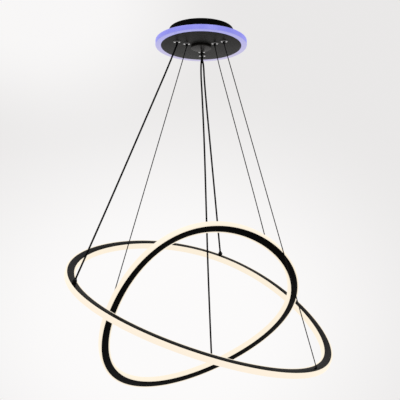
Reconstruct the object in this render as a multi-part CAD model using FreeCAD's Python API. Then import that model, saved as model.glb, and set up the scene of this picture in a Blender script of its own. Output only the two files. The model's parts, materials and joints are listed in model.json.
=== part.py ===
"""LED ring chandelier: two saddle-bent light rings on cords and wires below a round canopy.

Millimetres. The origin is the centre of the canopy on the ceiling plane, +Z up, so all of it hangs below
z = 0. The front of the lamp faces -Y. Each ring is a black extruded channel with an open groove on its
inner and outer side: an LED strip lies on the web of each groove and an opal diffuser closes it.
"""
import FreeCAD, Part
import math
import os

from FreeCAD import Vector

# ---- Canopy: outer sizes
HALO_D = 275.0          # lit acrylic rim, outside
HALO_H = 15.5
PLATE_D = 242.0         # black bottom plate, flush with the underside of the rim
DRUM_D = 193.0          # upper drum that reaches the ceiling
CANOPY_H = 51.0         # ceiling to bottom plate
SHEET = 1.2             # spun steel of the drum
PLATE_T = 1.5
CAP_D, CAP_H = 61.5, 8.5                # boss in the middle, screwed on the stud
CAP_ROUND, CAP_DOME = 2.4, 1.0          # its rounded lower edge and its slightly domed underside
DOME_STEPS = 4          # cone steps of that dome

# ---- Canopy: rim, tray and what they hold
HALO_WALL = 3.0
REBATE_R = 136.0        # rebate in the top of the rim's wall, where the back plate lies
HALO_LEDGE = 4.0        # how far the rim lies over the edge of the plate
TRAY_WALL_R = 111.0     # upturned wall of the bottom plate, which carries the rim's LED strip
STRIP_T, STRIP_W = 1.0, 10.0
STUD_D = 10.0
DRIVER = (84.0, 30.0, 20.0)
TERMINAL = (42.0, 18.0, 16.0)
BOX_R = 69.0            # distance of the drivers and the terminal block from the axis
BOX_ANGLES = {"driver_large": 270.0, "driver_small": 150.0, "terminal": 30.0}
PAD_T = 1.0             # foam tape under them

# ---- Ceiling bracket: a strap with two feet and a lowered bridge
STRAP_W, STRAP_T = 26.0, 2.0
SLOT_SPACING, SLOT_L, SLOT_W = 124.0, 20.0, 5.5
FOOT = (48.0, 78.0)     # inner and outer end of each foot
BRIDGE_HALF, BRIDGE_DROP = 38.0, 10.0

# ---- Cord exits: the small ring hangs from the inner circle, the large ring from the outer one
INNER_EXIT_R, OUTER_EXIT_R = 48.5, 81.0
EXIT_ANGLES = {"left": 210.0, "back": 90.0, "right": 330.0}
GRIP_L, GRIP_W, GRIP_T = 22.0, 11.0, 2.0    # oval flange of a grip
NOZZLE_H = 8.5          # from the flange to the mouth, where a cord turns off towards its ring
NOZZLE_R = (3.4, 3.9)   # at the mouth and at the flange
CORD_TAIL = 1.0         # how far the modelled cord reaches above the plate's underside
BEND_R = 10.0           # of a cord round the edge of the mouth
EXIT_HOLE_R = 4.4
SCREW_SPACING = 13.5    # the two bright screws of a grip
CORD_D, WIRE_D = 4.4, 2.0
CLEAR = 0.5             # between a cord and the bore that it enters
BORE_TURN = 37.0        # keeps the seam of a bore away from the seams of what it cuts

# ---- Ring section: channel with two grooves, and the diffusers that close them
CHANNEL_W, RING_W, RING_H = 18.5, 29.0, 16.5
FLANGE_T, WEB_T = 1.6, 4.0
TONGUE = 3.2            # how deep a diffuser reaches into its groove
TONGUE_GAP = 0.1
DIFFUSER_BEVEL = 1.4

# ---- The rings. "lean" is the angle of the ring's normal from the vertical, "toward" its compass angle
# from +X. The saddle is lowest at "saddle_at" and opposite it; "skew" is a slight third wave.
LARGE = dict(
    radius=386.5, centre=(5.0, 4.2, -834.7), lean=35.1, toward=-55.2,
    saddle=18.0, saddle_at=-3.0, skew=2.2, skew_at=-37.0,
    hang={"left": 200.3, "back": 84.7, "right": 330.5}, exit_r=OUTER_EXIT_R,
)
SMALL = dict(
    radius=290.5, centre=(-8.6, 4.0, -856.2), lean=41.4, toward=128.9,
    saddle=29.5, saddle_at=-1.0, skew=3.9, skew_at=37.0,
    hang={"left": 199.0, "back": 79.0, "right": 319.0}, exit_r=INNER_EXIT_R,
)
RAIL_POINTS = 24        # interpolation points of each long edge of a ring

# ---- Anchors: a foot on the ring with a ball that the cord or wire runs into
CORD_ANCHOR = dict(foot_r=6.2, foot_h=3.0, ball_r=6.6, ball_at=6.0, bite=4.0)
WIRE_ANCHOR = dict(foot_r=3.6, foot_h=1.6, ball_r=2.8, ball_at=2.6, bite=2.0)
SPIGOT_R, SPIGOT_L = 1.6, 6.0
SEAT_LIFT = 0.04        # a flat foot on the slightly curved face
BALL_STEPS = 6          # cone steps from a ball's neck to its crown

Z = Vector(0, 0, 1)
PLATE_Z = -CANOPY_H
FLOOR_Z = PLATE_Z + PLATE_T     # what stands inside on the plate
HALO_TOP = PLATE_Z + HALO_H
BACK_Z = HALO_TOP - SHEET       # underside of the back plate
MOUTH_Z = PLATE_Z - GRIP_T - NOZZLE_H


def polar(radius, angle, z=0.0):
    a = math.radians(angle)
    return Vector(radius * math.cos(a), radius * math.sin(a), z)


def turned(points):
    """Solid of revolution about Z from a closed outline of (radius, z) points."""
    wire = Part.makePolygon([Vector(r, 0, z) for r, z in points + points[:1]])
    return Part.Face(wire).revolve(Vector(0, 0, 0), Z, 360)


def rod(radius, z_low, z_high, at=Vector(0, 0, 0)):
    return Part.makeCylinder(radius, z_high - z_low, Vector(at.x, at.y, z_low), Z)


def tube(r_out, r_in, z_low, z_high):
    return rod(r_out, z_low, z_high).cut(rod(r_in, z_low, z_high))


def hexagon(across_flats, z_low, z_high, at=Vector(0, 0, 0)):
    r = across_flats / math.sqrt(3)
    corners = [at + polar(r, 60 * i, 0) for i in range(7)]
    face = Part.Face(Part.makePolygon([Vector(c.x, c.y, z_low) for c in corners]))
    return face.extrude(Vector(0, 0, z_high - z_low))


def stadium(length, width, z_low, z_high, at=Vector(0, 0, 0)):
    """Upright plate with round ends, long side along X."""
    half, r = length / 2 - width / 2, width / 2
    a, b = Vector(at.x - half, at.y - r, z_low), Vector(at.x + half, at.y - r, z_low)
    c, d = Vector(at.x + half, at.y + r, z_low), Vector(at.x - half, at.y + r, z_low)
    east = Part.Arc(b, Vector(at.x + half + r, at.y, z_low), c).toShape()
    west = Part.Arc(d, Vector(at.x - half - r, at.y, z_low), a).toShape()
    wire = Part.Wire([Part.makeLine(a, b), east, Part.makeLine(c, d), west])
    return Part.Face(wire).extrude(Vector(0, 0, z_high - z_low))


# ---------------------------------------------------------------- rings

def ring_axes(ring):
    """Two axes in the ring's plane and its normal."""
    lean, toward = math.radians(ring["lean"]), math.radians(ring["toward"])
    n = Vector(math.sin(lean) * math.cos(toward), math.sin(lean) * math.sin(toward), math.cos(lean))
    u = (Vector(1, 0, 0) - n * n.x).normalize()
    return u, n.cross(u), n


def ring_point(ring, angle, out=0.0, up=0.0):
    """Point of the ring at an angle in its plane, moved outward and along the normal."""
    u, v, n = ring_axes(ring)
    a = math.radians(angle)
    radial = u * math.cos(a) + v * math.sin(a)
    wave = -ring["saddle"] * math.cos(2 * math.radians(angle - ring["saddle_at"]))
    wave += ring["skew"] * math.cos(3 * math.radians(angle - ring["skew_at"]))
    return Vector(*ring["centre"]) + radial * (ring["radius"] + out) + n * (wave + up)


def rail(ring, out, up):
    """One long edge of a ring as two half turns of a closed curve."""
    steps = [360.0 * i / RAIL_POINTS for i in range(RAIL_POINTS)]
    curve = Part.BSplineCurve()
    curve.interpolate(
        Points=[ring_point(ring, s, out, up) for s in steps],
        Parameters=[math.radians(s) for s in steps + [360.0]],
        PeriodicFlag=True,
    )
    return curve.toShape(0, math.pi), curve.toShape(math.pi, 2 * math.pi)


def band(ring, section):
    """Closed solid that carries an outline of (outward, upward) corners once round the ring."""
    rails = [rail(ring, out, up) for out, up in section]
    faces = []
    for a, b in zip(rails, rails[1:] + rails[:1]):
        faces += [Part.makeRuledSurface(a[half], b[half]) for half in (0, 1)]
    shell = Part.makeShell(faces)
    shell.sewShape()
    solid = Part.Solid(shell)
    if solid.Volume < 0:
        solid.reverse()
    return solid


def mirrored(section, side):
    """Section for the outer groove (side 1) or its mirror image for the inner one (side -1)."""
    return [(out * side, up) for out, up in section]


def channel(ring):
    w, h, web = CHANNEL_W / 2, RING_H / 2, WEB_T / 2
    inner = h - FLANGE_T
    right = [(w, h), (w, inner), (web, inner), (web, -inner), (w, -inner), (w, -h)]
    body = band(ring, right + [(-out, up) for out, up in reversed(right)])
    for place in ring["hang"]:
        seat, axis = seat_on(ring, place)
        body = body.cut(Part.makeCylinder(SPIGOT_R, SPIGOT_L + 4, seat + axis * 4, -axis))
    return body


def led_strip(ring, side):
    low, high, half = WEB_T / 2, WEB_T / 2 + STRIP_T, STRIP_W / 2
    return band(ring, mirrored([(low, half), (high, half), (high, -half), (low, -half)], side))


def diffuser(ring, side):
    """T section: the tongue stands in the groove, the head covers the flange edges."""
    w, h, far = CHANNEL_W / 2, RING_H / 2, RING_W / 2
    lip = h - FLANGE_T - TONGUE_GAP
    bevel = DIFFUSER_BEVEL
    top = [(w - TONGUE, lip), (w, lip), (w, h), (far - bevel, h), (far, h - bevel)]
    return band(ring, mirrored(top + [(out, -up) for out, up in reversed(top)], side))


def seat_on(ring, place):
    """Middle of the top face where a cord is anchored, and the face's own normal there."""
    angle = ring["hang"][place]
    seat = ring_point(ring, angle, 0, RING_H / 2)
    along = ring_point(ring, angle + 0.5) - ring_point(ring, angle - 0.5)
    across = ring_point(ring, angle, 5) - ring_point(ring, angle, -5)
    return seat, across.cross(along).normalize()


# ---------------------------------------------------------------- cords and their ends

def cord_line(ring, place, kind):
    """Where a cord leaves the mouth of its grip, and where it meets the ball of its anchor."""
    seat, axis = seat_on(ring, place)
    ball = seat + axis * kind["ball_at"]
    leaves = polar(ring["exit_r"], EXIT_ANGLES[place], MOUTH_Z)
    toward = (leaves - ball).normalize()
    return leaves, ball + toward * kind["ball_r"]


def cord(ring, place, kind, diameter):
    """Taut cord: upright through its grip, round the edge of the mouth, straight into its anchor's ball."""
    leaves, surface = cord_line(ring, place, kind)
    down = (surface - leaves).normalize()
    top = Vector(leaves.x, leaves.y, PLATE_Z + CORD_TAIL)
    end = surface + down * (kind["bite"] - CLEAR)
    half_turn = math.acos(-down.z) / 2
    reach = BEND_R * math.tan(half_turn)
    first, last = leaves + Z * reach, leaves + down * reach
    middle = leaves + (Z + down).normalize() * (BEND_R / math.cos(half_turn) - BEND_R)
    path = Part.Wire([Part.makeLine(top, first), Part.Arc(first, middle, last).toShape(),
                      Part.makeLine(last, end)])
    pipe = Part.BRepOffsetAPI.MakePipeShell(path)
    pipe.add(Part.Wire(Part.Circle(top, Z, diameter / 2).toShape()))
    pipe.build()
    pipe.makeSolid()
    tube_volume = math.pi * diameter ** 2 / 4 * path.Length
    print(f"hanger {place}: length {path.Length:.0f} mm, bend radius {BEND_R:.0f} mm, "
          f"volume over section times length {pipe.shape().Volume / tube_volume:.4f}")
    return pipe.shape()


def anchor_blank(kind):
    """Spigot, foot and ball as one turned piece, upright, its foot on z = 0."""
    r, height, centre = kind["ball_r"], kind["foot_h"], kind["ball_at"]
    neck = math.asin((height - centre) / r)
    turns = [neck + (math.pi / 2 - neck) * i / BALL_STEPS for i in range(BALL_STEPS)]
    ball = [(r * math.cos(t), centre + r * math.sin(t)) for t in turns]
    return turned([(0, -SPIGOT_L), (SPIGOT_R, -SPIGOT_L), (SPIGOT_R, 0), (kind["foot_r"], 0),
                   (kind["foot_r"], height)] + ball + [(0, centre + r)])


def anchor(ring, place, kind, diameter):
    """Anchor on the ring, bored along the cord that runs into it."""
    seat, axis = seat_on(ring, place)
    leaves, surface = cord_line(ring, place, kind)
    down = (surface - leaves).normalize()
    body = anchor_blank(kind)
    body.Placement = FreeCAD.Placement(seat + axis * SEAT_LIFT, FreeCAD.Rotation(Z, axis))
    return body.cut(Part.makeCylinder(diameter / 2 + CLEAR, 20, surface + down * kind["bite"], -down))


def grip(ring, place, diameter):
    """Oval flange with a nozzle below the plate, bored upright for its cord."""
    at = polar(ring["exit_r"], EXIT_ANGLES[place])
    body = stadium(GRIP_L, GRIP_W, PLATE_Z - GRIP_T, PLATE_Z, at)
    body = body.fuse(Part.makeCone(*NOZZLE_R, NOZZLE_H, Vector(at.x, at.y, MOUTH_Z), Z)).removeSplitter()
    bore = rod(diameter / 2 + CLEAR, MOUTH_Z - 1, PLATE_Z + 1, at)
    bore.rotate(at, Z, BORE_TURN)
    body = body.cut(bore)
    for side in (-1, 1):
        body = body.cut(rod(1.6, PLATE_Z - GRIP_T, PLATE_Z, at + Vector(side * SCREW_SPACING / 2, 0, 0)))
    return body


def exits():
    """Centres of the six exits."""
    return [polar(r, a) for r in (INNER_EXIT_R, OUTER_EXIT_R) for a in EXIT_ANGLES.values()]


def grip_screw_places():
    return [c + Vector(side * SCREW_SPACING / 2, 0, 0) for c in exits() for side in (-1, 1)]


def grip_screws():
    """Cheese-head screws, head below the flange and shank up through the plate."""
    under = PLATE_Z - GRIP_T
    one = turned([(0, under - 1.8), (2.75, under - 1.8), (2.75, under), (1.6, under),
                  (1.6, PLATE_Z + 5), (0, PLATE_Z + 5)])
    return Part.makeCompound([one.translated(p) for p in grip_screw_places()])


def grip_nuts():
    low, high = FLOOR_Z, FLOOR_Z + 2.4
    return Part.makeCompound([hexagon(5.5, low, high, p).cut(rod(1.6, low, high, p))
                              for p in grip_screw_places()])


# ---------------------------------------------------------------- canopy

def ceiling_bracket():
    inner, outer = FOOT
    t, low = STRAP_T, -BRIDGE_DROP
    half = [(BRIDGE_HALF, low), (inner, 0), (outer, 0),
            (outer, -t), (inner + 1, -t), (BRIDGE_HALF + 1, low - t)]
    outline = half + [(-x, z) for x, z in reversed(half)]
    wire = Part.makePolygon([Vector(x, -STRAP_W / 2, z) for x, z in outline + outline[:1]])
    strap = Part.Face(wire).extrude(Vector(0, STRAP_W, 0))
    for x in (-SLOT_SPACING / 2, SLOT_SPACING / 2):
        strap = strap.cut(stadium(SLOT_L, SLOT_W, -t, 0, Vector(x, 0, 0)))
    strap = strap.cut(rod(STUD_D / 2, low - t, low))
    return strap.cut(rod(2.0, low - t, low, Vector(22, 0, 0)))


def stud():
    return rod(STUD_D / 2, PLATE_Z - CAP_H + 2, -3)


def stud_nuts():
    """One jam nut above the bridge and one below it."""
    low = -BRIDGE_DROP
    pairs = [(low, low + 5), (low - STRAP_T - 5, low - STRAP_T)]
    return Part.makeCompound([hexagon(17, a, b).cut(rod(STUD_D / 2, a, b)) for a, b in pairs])


def earth_screw():
    low, at = -BRIDGE_DROP - STRAP_T, Vector(22, 0, 0)
    return rod(4.0, low - 2.5, low, at).fuse(rod(2.0, low, low + 5, at)).removeSplitter()


def base_cover():
    """Wall of the drum, slightly flared where it stands on the back plate."""
    r, low = DRUM_D / 2, HALO_TOP
    flare = [(r, low + 1.8), (r + 0.6, low + 0.6), (r + 1.2, low)]
    return turned([(r, 0)] + flare + [(r - SHEET, low), (r - SHEET, 0)])


def back_plate():
    """Flat ring that carries the drum and lies in a rebate of the lit rim."""
    return tube(REBATE_R - 0.2, DRUM_D / 2 - SHEET, BACK_Z, HALO_TOP)


def halo_diffuser():
    """Acrylic rim: outer wall with a rebate for the back plate, underside, and the ledge over the plate."""
    r, p, ledge = HALO_D / 2, PLATE_D / 2, FLOOR_Z
    wall = r - HALO_WALL
    outside = [(r, HALO_TOP), (r, PLATE_Z + 1.5), (r - 1.5, PLATE_Z), (p, PLATE_Z), (p, ledge)]
    return turned(outside + [(p - HALO_LEDGE, ledge), (p - HALO_LEDGE, ledge + 1.5), (wall, ledge + 1.5),
                             (wall, BACK_Z), (REBATE_R, BACK_Z), (REBATE_R, HALO_TOP)])


def bottom_plate():
    """Flat tray: plate, and the upturned wall that meets the back plate."""
    top, wall = FLOOR_Z, TRAY_WALL_R
    plate = turned([(0, PLATE_Z), (PLATE_D / 2, PLATE_Z), (PLATE_D / 2, top), (wall, top), (wall, BACK_Z),
                    (wall - SHEET, BACK_Z), (wall - SHEET, top), (0, top)])
    holes = [rod(STUD_D / 2, PLATE_Z, top)] + [rod(EXIT_HOLE_R, PLATE_Z, top, c) for c in exits()]
    holes += [rod(1.6, PLATE_Z, top, p) for p in grip_screw_places()]
    return plate.cut(holes)


def halo_strip():
    low = FLOOR_Z + 2
    return tube(TRAY_WALL_R + STRIP_T, TRAY_WALL_R, low, low + STRIP_W)


def centre_cap():
    """Boss with a rounded edge, a slightly domed underside and a blind hole for the stud."""
    low, r, bore = PLATE_Z - CAP_H, CAP_D / 2, STUD_D / 2
    flat, turn = r - CAP_ROUND, CAP_ROUND * math.sqrt(0.5)
    dome = [(flat * i / DOME_STEPS, low - CAP_DOME * (1 - (i / DOME_STEPS) ** 2)) for i in range(DOME_STEPS)]
    edge = [(flat, low), (flat + turn, low + CAP_ROUND - turn), (r, low + CAP_ROUND)]
    return turned(dome + edge + [(r, PLATE_Z), (bore, PLATE_Z), (bore, low + 2), (0, low + 2)])


def boxed(size, angle, z_low, corner=2.0):
    """Box on the plate, its long side square to the ray at an angle, with rounded upright edges."""
    length, depth, height = size
    box = Part.makeBox(length, depth, height, Vector(-length / 2, -depth / 2, z_low))
    upright = [e for e in box.Edges if abs(e.Vertexes[0].Z - e.Vertexes[1].Z) > height / 2]
    box = box.makeFillet(corner, upright)
    box.rotate(Vector(0, 0, 0), Z, angle - 90)
    return box.translated(polar(BOX_R, angle))


def mounting_pads():
    """Foam tape under the two drivers and the terminal block."""
    sizes = {"driver_large": DRIVER, "driver_small": DRIVER, "terminal": TERMINAL}
    return Part.makeCompound([boxed((sizes[k][0] - 6, sizes[k][1] - 6, PAD_T), a, FLOOR_Z)
                              for k, a in BOX_ANGLES.items()])


# ---------------------------------------------------------------- all nodes

CORD_KINDS = {
    ("large", "left"): (CORD_ANCHOR, CORD_D, "cord"), ("large", "back"): (CORD_ANCHOR, CORD_D, "cord"),
    ("large", "right"): (WIRE_ANCHOR, WIRE_D, "wire"), ("small", "left"): (WIRE_ANCHOR, WIRE_D, "wire"),
    ("small", "back"): (CORD_ANCHOR, CORD_D, "cord"), ("small", "right"): (WIRE_ANCHOR, WIRE_D, "wire"),
}


def build():
    nodes = {
        "ceiling_bracket": ceiling_bracket(), "centre_stud": stud(), "stud_nuts": stud_nuts(),
        "earth_screw": earth_screw(), "base_cover": base_cover(), "back_plate": back_plate(),
        "halo_diffuser": halo_diffuser(), "bottom_plate": bottom_plate(), "halo_led_strip": halo_strip(),
        "centre_cap": centre_cap(),
        "driver_large_ring": boxed(DRIVER, BOX_ANGLES["driver_large"], FLOOR_Z + PAD_T),
        "driver_small_ring": boxed(DRIVER, BOX_ANGLES["driver_small"], FLOOR_Z + PAD_T),
        "terminal_block": boxed(TERMINAL, BOX_ANGLES["terminal"], FLOOR_Z + PAD_T),
        "mounting_pads": mounting_pads(),
        "grip_screws": grip_screws(), "grip_nuts": grip_nuts(),
    }
    for name, ring in (("large", LARGE), ("small", SMALL)):
        nodes[f"{name}_ring_channel"] = channel(ring)
        for side, word in ((1, "outer"), (-1, "inner")):
            nodes[f"{name}_ring_{word}_strip"] = led_strip(ring, side)
            nodes[f"{name}_ring_{word}_diffuser"] = diffuser(ring, side)
        for place in ring["hang"]:
            kind, diameter, word = CORD_KINDS[name, place]
            nodes[f"{name}_{word}_{place}"] = cord(ring, place, kind, diameter)
            nodes[f"{name}_anchor_{place}"] = anchor(ring, place, kind, diameter)
            nodes[f"{name}_grip_{place}"] = grip(ring, place, diameter)
    return nodes


os.makedirs("parts", exist_ok=True)
for node, shape in build().items():
    print(f"{node:28s} {shape.Volume / 1000:9.2f} cm3  valid {shape.isValid()}  solids {len(shape.Solids)}")
    shape.exportStep(f"parts/{node}.step")
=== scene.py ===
# %% [markdown]
# # A pendant light with two crossing rings
#
# The lamp hangs from a round canopy with a lit rim. Three cords and three thin wires carry two rings, which
# cross at opposite tilts. Each ring is a black metal channel, bent into a slight saddle, with a lit acrylic
# profile on its inner and its outer side. This file dresses the fixed model of the lamp: it works out smooth
# surfaces from a few driving dimensions and gives each its finish. The hidden inner pieces keep their shapes
# and get a finish alone.

# %% Load the fixed frame
import json
import math

import bmesh
import bpy
import numpy as np
from mathutils import Matrix, Vector


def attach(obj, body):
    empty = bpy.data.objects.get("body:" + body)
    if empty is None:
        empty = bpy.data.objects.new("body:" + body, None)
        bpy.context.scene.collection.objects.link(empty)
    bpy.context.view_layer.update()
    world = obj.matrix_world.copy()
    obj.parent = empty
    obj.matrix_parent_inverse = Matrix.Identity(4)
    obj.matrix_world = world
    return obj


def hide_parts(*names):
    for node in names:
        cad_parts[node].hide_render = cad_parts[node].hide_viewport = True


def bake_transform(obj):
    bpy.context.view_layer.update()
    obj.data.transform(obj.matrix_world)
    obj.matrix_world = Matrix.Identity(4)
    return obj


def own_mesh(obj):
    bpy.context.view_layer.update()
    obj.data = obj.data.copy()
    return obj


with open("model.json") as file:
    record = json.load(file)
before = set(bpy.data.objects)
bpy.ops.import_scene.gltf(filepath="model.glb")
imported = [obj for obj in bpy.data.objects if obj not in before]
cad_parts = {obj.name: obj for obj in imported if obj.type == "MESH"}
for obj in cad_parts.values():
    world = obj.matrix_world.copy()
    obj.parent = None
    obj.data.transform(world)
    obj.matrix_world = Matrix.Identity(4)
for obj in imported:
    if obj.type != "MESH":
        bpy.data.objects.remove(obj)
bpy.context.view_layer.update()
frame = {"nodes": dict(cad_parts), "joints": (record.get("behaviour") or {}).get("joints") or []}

# %% [markdown]
# ## The camera
#
# A camera is fixed by its place, three angles and its lens. They were found by fitting the outlines of the
# canopy and both rings and the lines of the cords. Pointing a camera at a target would take fewer values, but
# leaves its roll open, so each of the six is kept by itself, where it can be read and changed. The camera
# stands well below the canopy and looks up by thirteen degrees.

# %% Camera
CAMERA_AT = Vector((0.1483, -3.4749, -1.3561))
PITCH, YAW, ROLL = math.radians(13.397), -0.04293, 0.00505     # in radians
FOCAL_PIXELS, IMAGE_PIXELS, SENSOR_MM = 1225.1, 400, 36.0

forward = Vector((math.sin(YAW) * math.cos(PITCH), math.cos(YAW) * math.cos(PITCH), math.sin(PITCH)))
level = Vector((math.cos(YAW), -math.sin(YAW), 0))
upright = level.cross(forward)
right = level * math.cos(ROLL) + upright * math.sin(ROLL)
up = upright * math.cos(ROLL) - level * math.sin(ROLL)

camera_data = bpy.data.cameras.new("camera")
camera_data.sensor_width = SENSOR_MM
camera_data.lens = SENSOR_MM * FOCAL_PIXELS / IMAGE_PIXELS
camera = bpy.data.objects.new("camera", camera_data)
camera.matrix_world = Matrix.Translation(CAMERA_AT) @ Matrix((right, up, -forward)).transposed().to_4x4()
bpy.context.scene.collection.objects.link(camera)
bpy.context.scene.camera = camera
print(f"lens {camera_data.lens:.1f} mm")

# %% [markdown]
# ## The bent rings as a formula
#
# A hoop of this kind is a circle that was bent once across: it rises at two opposite places and sinks
# between them, like the edge of a saddle. It could be drawn flat and bent with modifiers, but then every
# small part on it has to be bent and placed by hand. Here each ring is a circle in a tilted plane plus a wave
# along the plane's normal, with two periods and a weak addition with three. Diffusers, anchors and cord ends
# are placed by the same function, so that they can't drift apart.

# %% Driving dimensions of the canopy, in metres
CANOPY_H = 0.051                    # from the ceiling to the underside of the black plate
HALO_R, HALO_H = 0.1375, 0.0155     # lit rim
PLATE_R, PLATE_T = 0.121, 0.0015    # black plate inside it
DRUM_R, SHEET = 0.0965, 0.0012      # drum above it, and the thickness of its sheet
REBATE_R, TRAY_R = 0.136, 0.111     # step in the rim for the back plate, and the wall on the black plate
CAP_R, CAP_H, CAP_ROUND, CAP_DOME = 0.03075, 0.0085, 0.0024, 0.001   # boss, its edge and its dome
GRIP_L, GRIP_W, GRIP_T, NOZZLE_H = 0.022, 0.011, 0.002, 0.0085       # oval flange and the nozzle below
EXIT_ANGLES = {"left": 210.0, "back": 90.0, "right": 330.0}          # of the cords, in degrees

PLATE_Z = -CANOPY_H
HALO_TOP = PLATE_Z + HALO_H
BACK_Z = HALO_TOP - SHEET
GRIP_Z = PLATE_Z - GRIP_T
MOUTH_Z = GRIP_Z - NOZZLE_H

# %% Driving dimensions of the rings and cords, in metres and degrees
CHANNEL_W, RING_W, RING_H = 0.0205, 0.0292, 0.0165      # black face, and the whole section
FLANGE_T, WEB_T, TONGUE, GAP = 0.0016, 0.004, 0.0032, 0.0001
CORD_D, WIRE_D = 0.0052, 0.0028

# lean and toward tilt a ring, saddle and skew bend it, and hang says where its anchors are
LARGE = dict(name="large", radius=0.3865, centre=(0.0050, 0.0042, -0.8347), lean=35.1, toward=-55.2,
             saddle=0.0180, saddle_at=-3.0, skew=0.0022, skew_at=-37.0,
             hang={"left": 200.3, "back": 84.7, "right": 330.5}, exit_r=0.081)
SMALL = dict(name="small", radius=0.2905, centre=(-0.0086, 0.0040, -0.8562), lean=41.4, toward=128.9,
             saddle=0.0295, saddle_at=-1.0, skew=0.0039, skew_at=37.0,
             hang={"left": 199.0, "back": 79.0, "right": 319.0}, exit_r=0.0485)


# %% A point of a ring
def ring_axes(ring):
    """Two unit vectors in the ring's plane and its unit normal, which leans toward a compass angle."""
    lean, toward = math.radians(ring["lean"]), math.radians(ring["toward"])
    n = np.array([math.sin(lean) * math.cos(toward), math.sin(lean) * math.sin(toward), math.cos(lean)])
    u = np.array([1.0, 0.0, 0.0]) - n * n[0]
    u /= np.linalg.norm(u)
    return u, np.cross(n, u), n


def ring_points(ring, degrees, out=0.0, rise=0.0):
    """Centre + (radius + out) * radial direction + (wave + rise) * normal, for whole arrays of angles.
    The wave is -saddle * cos(2 (angle - saddle_at)) + skew * cos(3 (angle - skew_at))."""
    u, v, n = ring_axes(ring)
    angle, out, rise = np.broadcast_arrays(np.asarray(degrees, float), out, rise)
    a = np.radians(angle)[..., None]
    wave = (-ring["saddle"] * np.cos(2 * np.radians(angle - ring["saddle_at"]))
            + ring["skew"] * np.cos(3 * np.radians(angle - ring["skew_at"])))
    radial = u * np.cos(a) + v * np.sin(a)
    in_plane = radial * (ring["radius"] + out)[..., None]
    return np.array(ring["centre"]) + in_plane + n * (wave + rise)[..., None]


def seat_of(ring, place):
    """Middle of the top face at an anchor, and the unit normal of that face there: the cross product of a
    short step across the ring and a short step along it."""
    angle, turn, aside = ring["hang"][place], 0.5, 0.005
    along = ring_points(ring, angle + turn) - ring_points(ring, angle - turn)
    across = ring_points(ring, angle, aside) - ring_points(ring, angle, -aside)
    axis = np.cross(across, along)
    return ring_points(ring, angle, 0.0, RING_H / 2), axis / np.linalg.norm(axis)


for ring in (LARGE, SMALL):
    z = ring_points(ring, np.arange(360.0))[:, 2]
    print(f"{ring['name']} ring: z from {z.min():.3f} to {z.max():.3f} m")

# %% [markdown]
# ## Surfaces from grids
#
# Most pieces of a lamp are either turned on a lathe or carried along a path. Blender has a Screw modifier and
# bevelled curves for that, but both are a grid of points in the end: one direction goes round or along, the
# other follows the outline. The helper below makes a mesh of such a grid in one go, which keeps the count of
# faces in hand, and stores its two directions as a UV map in metres, which a finish can follow.

# %% Grid to mesh
MERGE_WITHIN = 1e-7


def clean(mesh, sharp):
    """Merges points that coincide, turns all faces outwards and shades smooth up to the sharp angle."""
    work = bmesh.new()
    work.from_mesh(mesh)
    bmesh.ops.remove_doubles(work, verts=work.verts, dist=MERGE_WITHIN)
    bmesh.ops.recalc_face_normals(work, faces=work.faces)
    work.to_mesh(mesh)
    work.free()
    mesh.shade_smooth()
    mesh.set_sharp_from_angle(angle=math.radians(sharp))


def grid_surface(name, points, closed=(True, True), size=(1.0, 1.0), sharp=40.0):
    """Mesh of a grid of points: each face joins the points (u, v), (u + 1, v), (u + 1, v + 1), (u, v + 1),
    and a closed direction goes on from its last point to its first. An outline that starts or ends on the
    axis gives rows of equal points there: merging turns them into one pole. size is the length of both
    directions, which the UV map runs over."""
    rows, columns = points.shape[:2]
    faces_along = [count if loop else count - 1 for count, loop in zip((rows, columns), closed)]
    u, v = np.meshgrid(np.arange(faces_along[0]), np.arange(faces_along[1]), indexing="ij")
    u2, v2 = (u + 1) % rows, (v + 1) % columns
    quads = np.stack([u * columns + v, u2 * columns + v, u2 * columns + v2, u * columns + v2], -1)
    mesh = bpy.data.meshes.new(name)
    mesh.from_pydata(points.reshape(-1, 3).tolist(), [], quads.reshape(-1, 4).tolist())
    corners = np.stack([np.stack([u + du, v + dv], -1) for du, dv in ((0, 0), (1, 0), (1, 1), (0, 1))], 2)
    uv = mesh.uv_layers.new(name="metres")
    uv.data.foreach_set("uv", (corners.reshape(-1, 2) / np.array(faces_along) * np.array(size)).ravel())
    clean(mesh, sharp)
    piece = bpy.data.objects.new(name, mesh)
    bpy.context.scene.collection.objects.link(piece)
    return piece


def give_value(piece, name, values):
    """One number for each point of the mesh, which a finish reads as an attribute."""
    attribute = piece.data.attributes.new(name, "FLOAT", "POINT")
    attribute.data.foreach_set("value", values.astype(np.float32))


# %% [markdown]
# ## Outlines with rounded corners
#
# No edge of a real part is perfectly sharp, and a rounded edge is what catches a line of light. A Bevel
# modifier would round every edge alike. An outline is written with its few true corners instead, and each
# corner is replaced by a small arc with a radius of its own, before the outline becomes a surface.

# %% Rounded outline
def rounded(corners, radius, steps=4, closed=True):
    """Each corner of an outline becomes an arc that touches both of its sides: with h as half of the angle,
    its middle lies at radius / sin h from the corner and its ends at radius / tan h along the sides. radius
    is one number or one for each corner; 0 leaves a corner as it is."""
    corners = np.array(corners, float)
    radii = np.broadcast_to(radius, len(corners))
    result = []
    for i, corner in enumerate(corners):
        before, after = corners[i - 1] - corner, corners[(i + 1) % len(corners)] - corner
        end = not closed and i in (0, len(corners) - 1)
        if radii[i] <= 0 or end:
            result.append(corner[None])
            continue
        a, b = before / np.linalg.norm(before), after / np.linalg.norm(after)
        half = math.acos(np.clip(a @ b, -1, 1)) / 2
        reach = radii[i] / math.tan(half)
        middle = corner + (a + b) / np.linalg.norm(a + b) * radii[i] / math.sin(half)
        first, last = corner + a * reach - middle, corner + b * reach - middle
        sweep = math.atan2(first[0] * last[1] - first[1] * last[0], first @ last)
        t = np.linspace(0, sweep, steps + 1)[:, None]
        square = np.array([-first[1], first[0]])
        result.append(middle + first * np.cos(t) + square * np.sin(t))
    return np.vstack(result)


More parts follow.
